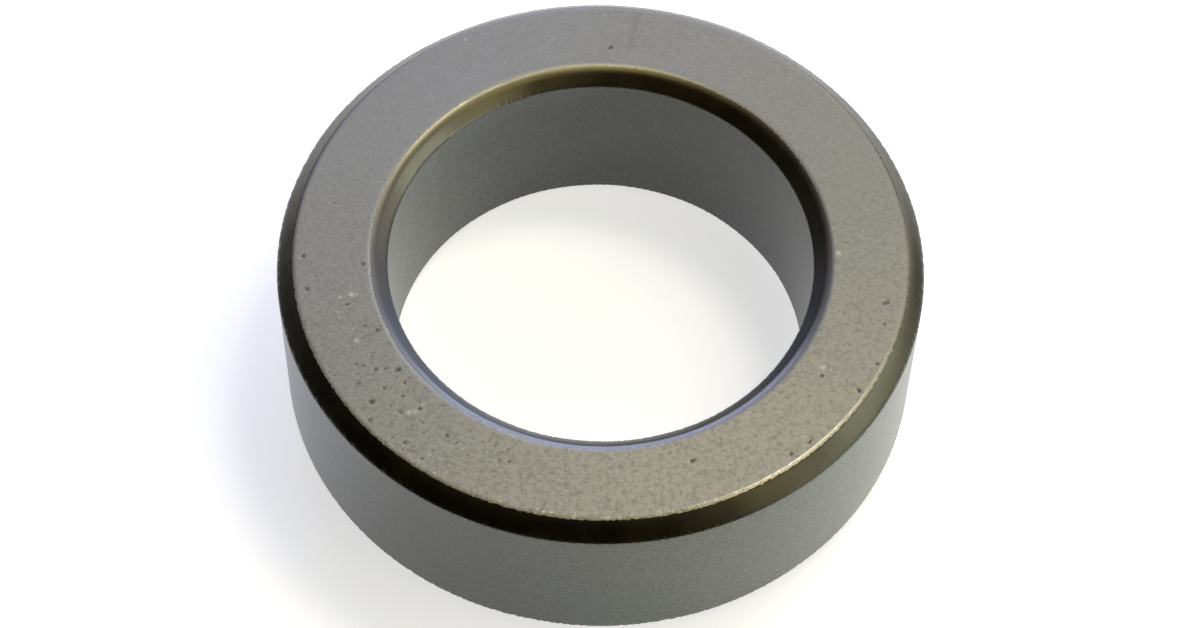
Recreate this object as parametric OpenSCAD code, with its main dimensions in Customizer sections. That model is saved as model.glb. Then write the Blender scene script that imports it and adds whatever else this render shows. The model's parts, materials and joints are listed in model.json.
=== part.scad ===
// Ferrite toroid core: one pressed and fired ring with two flat faces, a round bore and a
// chamfer on each of its four edges. Its axis is Z, and its lower face lies on Z = 0.

/* [Ring] */
// Outside diameter, across the outer wall
outer_d = 38; // [34:0.5:60]
// Diameter of the bore
bore_d = 25; // [12:0.5:28]
// Height of the ring along its axis
ring_h = 12; // [4:0.5:30]

/* [Outer edges] */
// Width of the outer chamfer, across the flat face
outer_chamfer_w = 1; // [0.5:0.05:1.5]
// Height of the outer chamfer, along the outer wall
outer_chamfer_h = 1.05; // [0.5:0.05:1.5]
// Radius of the lip where the flat face turns into the outer chamfer
outer_lip_r = 0.5; // [0.1:0.05:1]

/* [Bore edges] */
// Width of the bore chamfer, across the flat face
bore_chamfer_w = 0.8; // [0.5:0.05:1.5]
// Height of the bore chamfer, along the bore wall
bore_chamfer_h = 0.8; // [0.5:0.05:1.5]
// Radius of the soft lip where the flat face turns into the bore chamfer
bore_lip_r = 1.1; // [0.1:0.05:1.5]

/* [Hidden] */

$fn = 180;
// Straight steps in the arc of each lip
lip_steps = 8;
// Warm grey of the fired ferrite
ferrite_colour = [0.56, 0.55, 0.5];

outer_r = outer_d / 2;
bore_r = bore_d / 2;

// Corners of the ring's section as [radius, height, rounding], anticlockwise from the lower
// outer lip. The corners where a chamfer meets a wall are sharp, so their rounding is 0.
section_corners = [
    [outer_r - outer_chamfer_w, 0, outer_lip_r],
    [outer_r, outer_chamfer_h, 0],
    [outer_r, ring_h - outer_chamfer_h, 0],
    [outer_r - outer_chamfer_w, ring_h, outer_lip_r],
    [bore_r + bore_chamfer_w, ring_h, bore_lip_r],
    [bore_r, ring_h - bore_chamfer_h, 0],
    [bore_r, bore_chamfer_h, 0],
    [bore_r + bore_chamfer_w, 0, bore_lip_r]
];
corner_count = len(section_corners);

// Direction of a vector, with a length of 1
function unit(v) = v / norm(v);

// Place of a corner, counted round the section, so that -1 is the last one
function corner_point(i) =
    let (corner = section_corners[(i + corner_count) % corner_count])
    [corner[0], corner[1]];

// Points along the arc of radius r that touches both sides of corner b, where a is the corner
// before it and c the corner after it
function rounded_corner(a, b, c, r) =
    let (
        to_a = unit(a - b),
        to_c = unit(c - b),
        half_angle = acos(to_a * to_c) / 2,
        centre = b + unit(to_a + to_c) * r / sin(half_angle),
        first = b + to_a * r / tan(half_angle) - centre,
        first_angle = atan2(first[1], first[0]),
        step_angle = (180 - 2 * half_angle) / lip_steps
    )
    [
        for (i = [0:lip_steps])
            let (angle = first_angle + i * step_angle)
            centre + r * [cos(angle), sin(angle)]
    ];

// Points that one corner gives to the section: an arc where it is rounded, else the corner itself
function corner_points(i) =
    let (r = section_corners[i][2])
    r > 0
        ? rounded_corner(corner_point(i - 1), corner_point(i), corner_point(i + 1), r)
        : [corner_point(i)];

// Section through one side of the ring, with radius along X and height along Y
module ring_section() {
    polygon([for (i = [0:corner_count - 1]) each corner_points(i)]);
}

// The whole core, which is the section turned once about the axis
module toroid_core() {
    color(ferrite_colour)
        rotate_extrude()
            ring_section();
}

toroid_core();
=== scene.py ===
"""Looks of a bare ferrite toroid core: the ring's worn skin with light and shade painted on it, its finishes
and the studio round it.
"""

import itertools
import json
import logging
import math
from dataclasses import dataclass
from enum import Enum, IntEnum

import bpy
import numpy as np
from mathutils import Matrix, Vector


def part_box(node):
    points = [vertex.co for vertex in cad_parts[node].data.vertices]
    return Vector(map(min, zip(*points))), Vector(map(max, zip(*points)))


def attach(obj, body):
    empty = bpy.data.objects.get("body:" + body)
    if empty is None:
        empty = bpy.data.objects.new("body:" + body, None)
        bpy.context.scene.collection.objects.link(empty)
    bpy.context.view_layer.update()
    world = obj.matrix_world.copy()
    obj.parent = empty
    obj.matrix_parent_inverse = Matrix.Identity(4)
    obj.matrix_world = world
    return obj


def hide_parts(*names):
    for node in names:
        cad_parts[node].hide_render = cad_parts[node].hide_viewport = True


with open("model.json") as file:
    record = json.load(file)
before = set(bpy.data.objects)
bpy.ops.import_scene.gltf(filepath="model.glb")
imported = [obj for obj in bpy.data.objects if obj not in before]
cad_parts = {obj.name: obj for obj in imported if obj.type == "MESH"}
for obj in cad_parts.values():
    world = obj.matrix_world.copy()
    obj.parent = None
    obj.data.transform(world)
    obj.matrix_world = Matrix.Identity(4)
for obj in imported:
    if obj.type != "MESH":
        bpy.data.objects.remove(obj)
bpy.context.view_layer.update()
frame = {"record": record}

LOG = logging.getLogger("toroid_core")
CORE_NODE = "toroid_core"
CORE_BODY = "root"
MM = 0.001
FULL_TURN = 2.0 * math.pi

Colour = tuple[float, float, float]
Span = tuple[float, float]
Socket = bpy.types.NodeSocket
UNIT: Span = (0.0, 1.0)


class Zone(IntEnum):
    """Stretches of the ring's skin, numbered as the mesh's material slots."""

    FACE = 0
    WALL = 1
    FIRED = 2
    BORE_FIRED = 3
    BORE_WALL = 4


class Mark(Enum):
    """Wear, and light and shade painted on, that the skin carries as a number on each vertex, for the
    finishes to read.
    """

    PIT = "pit"
    CHIP = "chip"
    SMUDGE = "smudge"
    LIP = "lip"
    POROUS = "porous"
    # partly sandier wear, partly painted warm light, strongest at the front-right of the faces
    WORN_AND_LIT = "worn"
    # painted cool light, strongest at the back-left of the faces
    PAINTED_COOL_LIGHT = "cool"
    UNGROUND = "unground"
    # a painted highlight on the bore lip at the back
    PAINTED_BORE_HIGHLIGHT = "rubbed"
    CALM = "calm"
    # painted reflections on the bore lips and, more thinly, on the chamfers
    PAINTED_REFLECTION = "haze"
    GRAIN = "grain"
    CRUMB = "crumb"
    EDGE = "edge"
    # a painted highlight on the upper outer lip at the front-right
    PAINTED_OUTER_HIGHLIGHT = "bright"
    # painted light and shade over the upper outer lip
    SOFT = "soft"


class Rim(Enum):
    """The four rims where a chamfer meets a wall on one side and a face on the other."""

    LOWER_OUTER = 1
    UPPER_OUTER = 2
    UPPER_BORE = 3
    LOWER_BORE = 4


@dataclass(frozen=True)
class Corner:
    """One corner of the ring's section, its rounding, and the straight run to the next corner.

    The rounding is an arc of strips, and arc names the finish of each. The run is cut into even
    strips, or has rows at set gaps from its start, or from its end where the gap is negative.
    """

    radius: float
    height: float
    rounding: float
    arc: tuple[Zone, ...]
    run_zone: Zone
    rim: Rim
    gaps: tuple[float, ...] = ()
    strips: int = 1

    def point(self) -> np.ndarray:
        """The corner as (radius, height)."""
        return np.array([self.radius, self.height])

    def shares(self, length: float) -> np.ndarray:
        """Places the run's inner rows.

        Args:
            length: the run's length.

        Returns:
            Where the rows lie, as shares of the length.
        """
        if self.gaps:
            return np.mod(np.array(self.gaps) / length, 1.0)
        return np.arange(1, self.strips) / self.strips


@dataclass(frozen=True)
class SectionRows:
    """The section as rows of points, one array entry a row, in order round its outline.

    zone is that of the strip from a row to the next one. edge and lip hold a rim's number on the rows
    where its chamfer meets the wall, and where its fired skin meets the face, else 0.
    """

    radius: np.ndarray
    height: np.ndarray
    out_radius: np.ndarray
    out_height: np.ndarray
    zone: np.ndarray
    edge: np.ndarray
    lip: np.ndarray

    def part(self, zone: Zone) -> np.ndarray:
        """Marks the rows that border on a strip of the zone on both sides."""
        return (self.zone == zone) & (np.roll(self.zone, 1) == zone)

    def lean(self) -> np.ndarray:
        """How far each row's outward vector leans from the axis, in degrees."""
        return np.degrees(np.arccos(np.clip(np.abs(self.out_height), 0.0, 1.0)))

    def turned(self, full_deg: float) -> np.ndarray:
        """How far each row's outward vector leans from the axis, from 0 to 1 at the full angle."""
        return np.clip(self.lean() / full_deg, 0.0, 1.0)


@dataclass(frozen=True)
class RingSection:
    """The core's section: flat faces, walls, chamfers, and lips where a face turns into a chamfer."""

    outer_r: float
    bore_r: float
    ring_h: float
    outer_chamfer_h: float
    bore_chamfer_h: float
    outer_chamfer_w: float = 1.0 * MM
    bore_chamfer_w: float = 0.8 * MM
    outer_lip_r: float = 0.5 * MM
    bore_lip_r: float = 1.1 * MM
    wall_edge_r: float = 0.05 * MM
    edge_gaps: Span = (0.13 * MM, 0.26 * MM)
    upper_strips: int = 37
    lower_strips: int = 12

    @classmethod
    def from_record(cls, record: dict) -> "RingSection":
        """Takes the ring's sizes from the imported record.

        Args:
            record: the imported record, whose mounts give the radii and lengths of both walls.

        Returns:
            The section, in metres.
        """
        sizes = {mount["name"]: mount["dims"] for mount in record["mounts"]}
        low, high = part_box(CORE_NODE)
        ring_h = high.z - low.z
        return cls(
            outer_r=sizes["outer_wall"]["r_mm"] * MM,
            bore_r=sizes["bore"]["r_mm"] * MM,
            ring_h=ring_h,
            outer_chamfer_h=(ring_h - sizes["outer_wall"]["length_mm"] * MM) / 2,
            bore_chamfer_h=(ring_h - sizes["bore"]["length_mm"] * MM) / 2,
        )

    def bore_side(self, radius: np.ndarray) -> np.ndarray:
        """Marks the radii nearer to the bore than to the outer wall."""
        return radius < (self.outer_r + self.bore_r) / 2

    def upper_half(self, height: np.ndarray) -> np.ndarray:
        """Marks the heights in the upper half."""
        return height > self.ring_h / 2

    def corners(self) -> list[Corner]:
        """Lists the section's corners anticlockwise, from the lower outer lip.

        The face's finish goes on over the first strips of each lip. Two rows lie close to each wall
        edge, so that its wear stays narrow.

        Returns:
            Eight corners, with more rows on the upper face, which shows the most.
        """
        out_lip = self.outer_r - self.outer_chamfer_w
        bore_lip = self.bore_r + self.bore_chamfer_w
        top = self.ring_h
        out_top, bore_top = top - self.outer_chamfer_h, top - self.bore_chamfer_h
        face, wall, fired = (Zone.FACE,), (Zone.WALL,), (Zone.FIRED,)
        bore, bore_wall = (Zone.BORE_FIRED,), (Zone.BORE_WALL,)
        upper_out, lower_out = fired * 2 + face * 3, face + fired
        upper_bore, lower_bore = face * 2 + bore * 5, bore * 2 + face
        lip_o, lip_b, edge = self.outer_lip_r, self.bore_lip_r, self.wall_edge_r
        near, far = self.edge_gaps
        down, up, side = (-far, -near), (near, far), (near, far, -far, -near)
        return [
            Corner(out_lip, 0.0, lip_o, lower_out, Zone.FIRED, Rim.LOWER_OUTER, down),
            Corner(self.outer_r, self.outer_chamfer_h, edge, wall, Zone.WALL, Rim.LOWER_OUTER, side),
            Corner(self.outer_r, out_top, edge, wall, Zone.FIRED, Rim.UPPER_OUTER, up),
            Corner(out_lip, top, lip_o, upper_out, Zone.FACE, Rim.UPPER_OUTER, strips=self.upper_strips),
            Corner(bore_lip, top, lip_b, upper_bore, Zone.BORE_FIRED, Rim.UPPER_BORE, down),
            Corner(self.bore_r, bore_top, edge, bore_wall, Zone.BORE_WALL, Rim.UPPER_BORE, side),
            Corner(self.bore_r, self.bore_chamfer_h, edge, bore_wall, Zone.BORE_FIRED, Rim.LOWER_BORE, up),
            Corner(bore_lip, 0.0, lip_b, lower_bore, Zone.FACE, Rim.LOWER_BORE, strips=self.lower_strips),
        ]

    @staticmethod
    def _arc(before: Corner, corner: Corner, after: Corner) -> tuple[np.ndarray, np.ndarray]:
        """Rounds one corner.

        The arc touches both sides of the corner, so its centre lies on the corner's bisector, a
        rounding over the sine of half the corner's angle away.

        Args:
            before: the corner ahead of it.
            corner: the corner to round.
            after: the corner that follows.

        Returns:
            The arc's points and its outward unit vectors, as (radius, height) pairs.
        """
        here = corner.point()
        back = before.point() - here
        ahead = after.point() - here
        back /= np.linalg.norm(back)
        ahead /= np.linalg.norm(ahead)
        half = math.acos(float(back @ ahead)) / 2
        middle = (back + ahead) / np.linalg.norm(back + ahead)
        centre = here + middle * corner.rounding / math.sin(half)
        first = here + back * corner.rounding / math.tan(half) - centre
        start = math.atan2(first[1], first[0])
        angles = start + np.linspace(0.0, math.pi - 2 * half, len(corner.arc) + 1)
        outward = np.stack([np.cos(angles), np.sin(angles)], axis=-1)
        return centre + corner.rounding * outward, outward

    def rows(self) -> SectionRows:
        """Samples the outline: an arc at each corner, then the rows of the run to the next arc.

        Returns:
            The rows, closed on themselves.
        """
        corners = self.corners()
        count = len(corners)
        arcs = [self._arc(corners[i - 1], corners[i], corners[(i + 1) % count]) for i in range(count)]
        points, outward, zones, rims, edges = [], [], [], [], []
        for i, corner in enumerate(corners):
            arc_points, arc_outward = arcs[i]
            way = arcs[(i + 1) % count][0][0] - arc_points[-1]
            length = float(np.linalg.norm(way))
            share = corner.shares(length)[:, None]
            points += [arc_points, arc_points[-1] + share * way]
            outward += [arc_outward, np.repeat(arc_outward[-1:], len(share), axis=0)]
            zones += [list(corner.arc), [corner.run_zone] * (len(share) + 1)]
            rims += [corner.rim.value] * (len(arc_points) + len(share))
            at_wall = corner.arc[0] in (Zone.WALL, Zone.BORE_WALL)
            edges += [corner.rim.value * at_wall] * len(arc_points) + [0] * len(share)
        at = np.concatenate(points)
        out = np.concatenate(outward)
        zone = np.concatenate(zones)
        pair = np.stack([np.roll(zone, 1), zone])
        fired = np.isin(pair, (Zone.FIRED, Zone.BORE_FIRED)).any(axis=0)
        lip = np.where((pair == Zone.FACE).any(axis=0) & fired, rims, 0)
        return SectionRows(at[:, 0], at[:, 1], out[:, 0], out[:, 1], zone, np.array(edges), lip)


def ring_noise(theta: np.ndarray, waves: tuple[int, int], seed: int) -> np.ndarray:
    """Smooth noise round the ring, which closes at a full turn.

    It is a sum of cosines with whole numbers of waves a turn and random phases, each as strong as
    the others, scaled to a spread of 1.

    Args:
        theta: angles round the ring, in radians.
        waves: the fewest and the most waves a turn.
        seed: start of the random phases.

    Returns:
        One value for each angle.
    """
    number = np.arange(waves[0], waves[1] + 1)
    phase = np.random.default_rng(seed).uniform(0.0, FULL_TURN, number.size)
    total = np.cos(theta[:, None] * number + phase).sum(axis=1)
    return total / math.sqrt(number.size / 2)


def sheet_noise(theta: np.ndarray, radius: np.ndarray, wave: float, seed: int) -> np.ndarray:
    """Smooth noise on a face, which closes at a full turn.

    It is a sum of plane waves in angle and radius, with whole numbers of waves a turn, and random
    directions, lengths near the given one, and phases.

    Args:
        theta: angles round the ring, in radians.
        radius: distances from the axis.
        wave: about how long a wave is.
        seed: start of the random choices.

    Returns:
        Values with a spread of 1, angles by radii.
    """
    rng = np.random.default_rng(seed)
    count, length_range = 40, (0.6, 1.5)
    heading = rng.uniform(0.0, math.pi, count)
    pitch = FULL_TURN / (wave * rng.uniform(*length_range, count))
    turns = np.round(pitch * np.cos(heading) * float(radius.mean()))
    phase = rng.uniform(0.0, FULL_TURN, count)
    round_part = theta[:, None] * turns
    across_part = radius[:, None] * (pitch * np.sin(heading)) + phase
    first = np.cos(round_part) @ np.cos(across_part).T
    second = np.sin(round_part) @ np.sin(across_part).T
    return (first - second) / math.sqrt(count / 2)


def turn_between(theta: np.ndarray, angle_deg: float) -> np.ndarray:
    """How far each angle is from a given one, in radians from minus to plus half a turn."""
    return np.angle(np.exp(1j * (theta - math.radians(angle_deg))))


@dataclass(frozen=True)
class Stretch:
    """A stretch of the ring round one angle, where some wear is strongest."""

    at_deg: float
    spread_deg: float

    def strength(self, theta: np.ndarray) -> np.ndarray:
        """A bell curve: 1 at the angle, and down to about a third at the spread from it."""
        return np.exp(-((np.degrees(turn_between(theta, self.at_deg)) / self.spread_deg) ** 2))


@dataclass(frozen=True)
class NotedSpot:
    """A pit or a grain that stands out on the upper face: where it lies and how wide it is."""

    angle_deg: float
    radius: float
    width: float


@dataclass(frozen=True)
class PitField:
    """Open pores left where granules pulled out of a face.

    The face is cut into cells, and each cell holds at most one pit, at a random place in it. A pit is
    a bowl whose outline is bent by noise: its depth falls with the square of the bent distance.
    """

    cell: float = 0.7 * MM
    chance: float = 0.004
    crowded_chance: float = 0.32
    crowd: Stretch = Stretch(-135.0, 34.0)
    place_range: Span = (0.2, 0.8)
    radius_range: Span = (0.08 * MM, 0.16 * MM)
    depth_share: float = 0.4
    bend: float = 0.07 * MM
    bend_wave: float = 0.45 * MM
    seed: int = 11
    noted: tuple[NotedSpot, ...] = ()

    def deepest(self) -> float:
        """How deep the widest of the random pits is."""
        return self.radius_range[1] * self.depth_share

    def _bowl(self, across: np.ndarray, radius: np.ndarray | float) -> np.ndarray:
        """Depth of a bowl of that radius, at a distance from its middle."""
        return np.clip(1.0 - (across / radius) ** 2, 0.0, 1.0) * radius * self.depth_share

    def depth(self, theta: np.ndarray, radius: np.ndarray) -> np.ndarray:
        """Works out how deep the pits are on a face's grid, where the deepest bowl counts.

        Args:
            theta: angles round the ring, one a column of the mesh.
            radius: distances from the axis, one a row of the mesh.

        Returns:
            Depths in metres, angles by rows.
        """
        bent_round = self.bend * sheet_noise(theta, radius, self.bend_wave, self.seed + 1)
        bent_across = self.bend * sheet_noise(theta, radius, self.bend_wave, self.seed + 2)
        deepest = self._scattered(theta, radius, bent_round, bent_across)
        for spot in self.noted:
            gap_round = turn_between(theta, spot.angle_deg)[:, None] * radius + bent_round / 2
            gap = np.hypot(gap_round, radius - spot.radius + bent_across / 2)
            deepest = np.maximum(deepest, self._bowl(gap, spot.width / 2))
        return deepest

    def _scattered(
        self, theta: np.ndarray, radius: np.ndarray, bent_round: np.ndarray, bent_across: np.ndarray
    ) -> np.ndarray:
        """Works out the random pits: each point looks at its own cell and the eight round it.

        Args:
            theta: angles round the ring.
            radius: distances from the axis.
            bent_round: how far the noise moves each point round the ring.
            bent_across: how far the noise moves each point from the axis.

        Returns:
            Depths in metres, angles by rows.
        """
        rng = np.random.default_rng(self.seed)
        inner, outer = float(radius.min()), float(radius.max())
        round_count = int(math.pi * (inner + outer) / self.cell)
        across_count = int(math.ceil((outer - inner) / self.cell))
        shape = (round_count, across_count)
        place_round = rng.uniform(*self.place_range, shape)
        place_across = rng.uniform(*self.place_range, shape)
        low, high = self.radius_range
        width = low + (high - low) * rng.uniform(0.0, 1.0, shape) ** 2
        middle = (np.arange(round_count) + 0.5) * FULL_TURN / round_count
        chance = self.chance + (self.crowded_chance - self.chance) * self.crowd.strength(middle)
        present = rng.uniform(0.0, 1.0, shape) < chance[:, None]
        turn = np.mod(theta, FULL_TURN)[:, None] / FULL_TURN * round_count
        step = (radius[None, :] - inner) / self.cell
        deepest = np.zeros((theta.size, radius.size))
        for around, aside in itertools.product((-1, 0, 1), repeat=2):
            cell_round = np.floor(turn).astype(int) + around
            cell_across = np.floor(step).astype(int) + aside
            inside = (cell_across >= 0) & (cell_across < across_count)
            index = (np.mod(cell_round, round_count), np.clip(cell_across, 0, across_count - 1))
            gap_round = (turn - cell_round - place_round[index]) * FULL_TURN / round_count * radius
            gap_across = (step - cell_across - place_across[index]) * self.cell
            bowl = self._bowl(np.hypot(gap_round + bent_round, gap_across + bent_across), width[index])
            deepest = np.maximum(deepest, np.where(present[index] & inside, bowl, 0.0))
        return deepest


NOTED_PITS = (
    NotedSpot(89, 14.9 * MM, 0.34 * MM),
    NotedSpot(-177, 17.4 * MM, 0.34 * MM),
    NotedSpot(-164, 15.2 * MM, 0.28 * MM),
    NotedSpot(-155, 14.1 * MM, 0.34 * MM),
    NotedSpot(-149, 17.5 * MM, 0.28 * MM),
    NotedSpot(-149, 16.1 * MM, 0.24 * MM),
    NotedSpot(-148, 15.8 * MM, 0.26 * MM),
    NotedSpot(-147, 16.4 * MM, 0.22 * MM),
    NotedSpot(-146, 15.3 * MM, 0.28 * MM),
    NotedSpot(-145, 14.8 * MM, 0.34 * MM),
    NotedSpot(-143, 14.3 * MM, 0.36 * MM),
    NotedSpot(-143, 13.8 * MM, 0.24 * MM),
    NotedSpot(-141, 15.6 * MM, 0.26 * MM),
    NotedSpot(-140, 16.7 * MM, 0.40 * MM),
    NotedSpot(-137, 15.1 * MM, 0.22 * MM),
    NotedSpot(-132, 15.0 * MM, 0.30 * MM),
    NotedSpot(-129, 17.2 * MM, 0.32 * MM),
    NotedSpot(-69, 15.1 * MM, 0.32 * MM),
    NotedSpot(-51, 17.4 * MM, 0.28 * MM),
    NotedSpot(-33, 15.2 * MM, 0.38 * MM),
    NotedSpot(-32, 17.5 * MM, 0.38 * MM),
    NotedSpot(-25, 17.6 * MM, 0.32 * MM),
    NotedSpot(-16, 17.1 * MM, 0.30 * MM),
    NotedSpot(-11, 16.9 * MM, 0.40 * MM),
)
# The grains are scattered as the pits are, and a pit's depth stands for a grain's strength.
PALE_GRAINS = PitField(
    cell=0.6 * MM,
    chance=0.015,
    crowded_chance=0.10,
    crowd=Stretch(-100.0, 60.0),
    radius_range=(0.08 * MM, 0.13 * MM),
    seed=37,
    noted=(
        NotedSpot(0.7, 13.9 * MM, 0.36 * MM),
        NotedSpot(-31, 15.0 * MM, 0.34 * MM),
        NotedSpot(-133, 15.6 * MM, 0.36 * MM),
        NotedSpot(-132.2, 15.3 * MM, 0.3 * MM),
        NotedSpot(-154.4, 15.4 * MM, 0.34 * MM),
        NotedSpot(-166, 14.5 * MM, 0.28 * MM),
        NotedSpot(-166.4, 14.8 * MM, 0.36 * MM),
        NotedSpot(-166.1, 15.5 * MM, 0.3 * MM),
    ),
)


@dataclass(frozen=True)
class Smudge:
    """A dark rub mark on the upper face: a line with soft sides and ends."""

    start: Span
    end: Span
    width: float
    share: float

    def strength(self, x: np.ndarray, y: np.ndarray) -> np.ndarray:
        """Works out how strong the mark is: a bell curve of the distance from its line.

        Args:
            x: the points' places across.
            y: the points' places in depth.

        Returns:
            Strengths from 0 to the mark's share.
        """
        start, way = np.array(self.start), np.subtract(self.end, self.start)
        along = np.clip(((x - start[0]) * way[0] + (y - start[1]) * way[1]) / (way @ way), 0.0, 1.0)
        gap = np.hypot(x - start[0] - along * way[0], y - start[1] - along * way[1])
        return self.share * np.exp(-((gap / self.width) ** 2))


@dataclass(frozen=True)
class RaggedEdge:
    """How unevenly one finish gives way to the next round the ring.

    The edge wanders by a long wave and a short one, and the rare high crests of a third wave,
    squared, are crumbled notches.
    """

    wander: float
    crumble: float
    notch: float
    seed: int
    long_waves: tuple[int, int] = (3, 18)
    short_waves: tuple[int, int] = (90, 360)
    notch_waves: tuple[int, int] = (60, 260)
    notch_from: float = 1.2

    def reach(self, theta: np.ndarray, rim: Rim) -> np.ndarray:
        """Works out how far the edge is moved.

        Args:
            theta: angles round the ring.
            rim: the edge's rim; each has waves of its own.

        Returns:
            Moves in metres, one for each angle.
        """
        seed = self.seed + 10 * rim.value
        long_wave = ring_noise(theta, self.long_waves, seed)
        short_wave = ring_noise(theta, self.short_waves, seed + 1)
        crest = np.clip(ring_noise(theta, self.notch_waves, seed + 2) - self.notch_from, 0.0, None)
        return self.wander * long_wave + self.crumble * short_wave + self.notch * crest**2


def grid_quads(columns: int, rows: int) -> np.ndarray:
    """Numbers the corners of a grid's quads, closed on itself both ways.

    Args:
        columns: grid points one way.
        rows: grid points the other way, which are numbered first.

    Returns:
        Corner numbers as columns by rows by four.
    """
    column, row = np.meshgrid(np.arange(columns), np.arange(rows), indexing="ij")
    after, above = (column + 1) % columns, (row + 1) % rows
    corners = [column * rows + row, after * rows + row, after * rows + above, column * rows + above]
    return np.stack(corners, axis=-1)


@dataclass(frozen=True)
class Wear:
    """Where the skin is rubbed, bare or soiled, and where light and shade are painted on it, as numbers that
    the finishes read.

    Most wear and painted light is strongest round one angle of the ring and lies on some rows of the
    section.
    """

    section: RingSection
    grains: PitField = PALE_GRAINS
    rub_mark: Smudge = Smudge((1.9 * MM, 17.5 * MM), (1.5 * MM, 15.0 * MM), 0.22 * MM, 0.5)
    scratch: Smudge = Smudge((-13.6 * MM, -6.5 * MM), (-12.6 * MM, -5.9 * MM), 0.09 * MM, 1.0)
    porous: Stretch = Stretch(-130.0, 54.0)
    # where the face is worn sandier and painted with warm light, round the front-right
    worn: Stretch = Stretch(-70.0, 64.0)
    # where cool light is painted on the face, round the back-left
    cool: Stretch = Stretch(135.0, 70.0)
    calm: Stretch = Stretch(50.0, 50.0)
    unground: Stretch = Stretch(-6.0, 55.0)
    # where a highlight is painted on the bore lip, and how far onto the lip it reaches
    rubbed: Stretch = Stretch(88.0, 28.0)
    bore_highlight_to_deg: float = 33.0
    # where reflections are painted on the bore lips, the bore chamfer and the outer chamfer
    haze: Stretch = Stretch(-138.0, 46.0)
    thin_painted_reflection: Stretch = Stretch(-26.0, 30.0)
    thin_painted_reflection_share: float = 0.45
    outer_painted_reflection: Stretch = Stretch(-32.0, 25.0)
    outer_painted_reflection_share: float = 0.7
    flank_deg: Span = (36.0, 44.0)
    crumbs: Stretch = Stretch(-97.0, 30.0)
    crumb_reach: float = 0.3 * MM
    # where a highlight is painted on the upper outer lip
    outer_lip_highlight: Stretch = Stretch(-52.0, 16.0)
    bare_edge: Stretch = Stretch(-150.0, 60.0)
    outer_polish: Stretch = Stretch(-54.0, 36.0)
    bore_polish: Stretch = Stretch(-126.0, 52.0)
    lip_lean_deg: float = 13.0
    polish_lean_deg: float = 10.0
    flat_lean_deg: float = 0.5
    # where light and shade are painted over the upper outer lip, round the ring and across it
    shading_right: Stretch = Stretch(7.0, 31.0)
    shading_left: Stretch = Stretch(160.0, 30.0)
    shading_least: float = 0.1
    shading_inset: tuple[float, ...] = (0.5 * MM, 0.85 * MM, 0.91 * MM, 0.98 * MM, 1.21 * MM)
    shading_shares: tuple[float, ...] = (0.0, 0.6, 0.8, 0.75, 0.0)

    def marks(
        self, theta: np.ndarray, rows: SectionRows, x: np.ndarray, y: np.ndarray
    ) -> dict[Mark, np.ndarray]:
        """Works out wear and painted light for each point, from its angle, its row, and its place seen from
        above.

        Args:
            theta: angles round the ring.
            rows: the section's rows.
            x: the points' places across, angles by rows.
            y: the points' places in depth, angles by rows.

        Returns:
            Strengths from 0 to 1 for each kind of wear and painted light, angles by rows.
        """
        upper = self.section.upper_half(rows.height)
        bore_side = self.section.bore_side(rows.radius)
        bore_lip = np.where(bore_side, rows.turned(self.lip_lean_deg), 0.0)
        outer_lip = np.where(upper & ~bore_side, rows.turned(self.polish_lean_deg), 0.0)
        beyond = np.interp(rows.lean(), (self.lip_lean_deg, self.bore_highlight_to_deg), UNIT)
        lines = np.maximum(self.rub_mark.strength(x, y), self.scratch.strength(x, y))
        marks = {
            Mark.SMUDGE: np.where(upper, lines, 0.0),
            Mark.LIP: self._polish(theta, rows),
            Mark.UNGROUND: np.outer(self.unground.strength(theta), bore_lip),
            # painted highlight on the bore lip
            Mark.PAINTED_BORE_HIGHLIGHT: np.outer(self.rubbed.strength(theta), bore_lip * (1.0 - beyond)),
            # painted reflections
            Mark.PAINTED_REFLECTION: self._painted_reflections(theta, rows, bore_lip, outer_lip),
            Mark.GRAIN: self._pale_grains(theta, rows),
            Mark.CRUMB: np.outer(self.crumbs.strength(theta), self._near_outer_lip(rows)),
            # painted highlight on the outer lip
            Mark.PAINTED_OUTER_HIGHLIGHT: np.outer(self.outer_lip_highlight.strength(theta), outer_lip),
            # painted light and shade over the outer lip
            Mark.SOFT: self._painted_lip_shading(theta, rows),
            Mark.EDGE: np.outer(self.bare_edge.strength(theta), rows.edge == Rim.UPPER_OUTER.value),
        }
        for mark, stretch in self._all_over().items():
            marks[mark] = np.outer(stretch.strength(theta), np.ones(rows.radius.size))
        return marks

    def _all_over(self) -> dict[Mark, Stretch]:
        """The wear and painted light that cover every row of their stretch."""
        # the worn stretch is partly painted warm light; the cool stretch is painted cool light
        return {Mark.POROUS: self.porous, Mark.WORN_AND_LIT: self.worn, Mark.PAINTED_COOL_LIGHT: self.cool, Mark.CALM: self.calm}

    def _polish(self, theta: np.ndarray, rows: SectionRows) -> np.ndarray:
        """How polished the lips are from handling.

        Args:
            theta: angles round the ring.
            rows: the section's rows.

        Returns:
            Strength from 0 to 1, angles by rows.
        """
        bore = self.bore_polish.strength(theta)[:, None]
        outer = self.outer_polish.strength(theta)[:, None]
        strength = np.where(self.section.bore_side(rows.radius), bore, outer)
        return strength * rows.turned(self.polish_lean_deg)

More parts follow.
